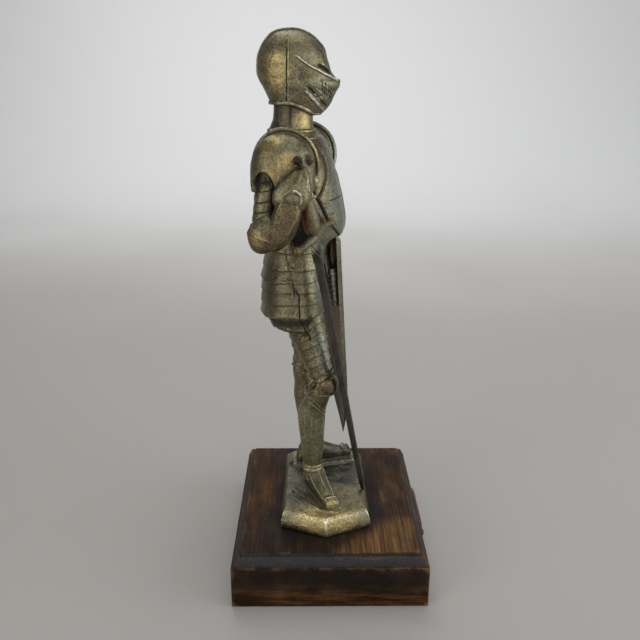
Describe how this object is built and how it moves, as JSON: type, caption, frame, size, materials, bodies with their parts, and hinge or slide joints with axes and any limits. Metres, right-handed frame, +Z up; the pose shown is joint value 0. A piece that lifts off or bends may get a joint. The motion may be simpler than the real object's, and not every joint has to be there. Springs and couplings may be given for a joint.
{
  "type": "knight statuette",
  "caption": "Cast metal statuette of a knight in plate armour and closed helmet, with a greatsword and a long shield, on a stained wooden plinth with a plaque.",
  "frame": {"origin": "centre of the plinth's underside, on the surface it stands on", "axes": "+Z up; the knight looks along -Y and its right side is towards -X"},
  "size_m": [0.14, 0.1237, 0.3326],
  "materials": {
    "cast_brass": "aged, rubbed golden on the high places and dark in the hollows",
    "dark_gunmetal": "dark and dull, with brassy guard ends and a brown grip",
    "brown_gunmetal": "dark, dull and reddish brown inside",
    "stained_wood": "dark stain, worn light brown on the edges",
    "dark_red_metal": "dark red and dull"
  },
  "bodies": {
    "root": {"knight_and_cast_base": "cast_brass", "greatsword": "dark_gunmetal", "shield": "brown_gunmetal", "wooden_plinth": "stained_wood", "plaque": "dark_red_metal"}
  },
  "joints": []
}
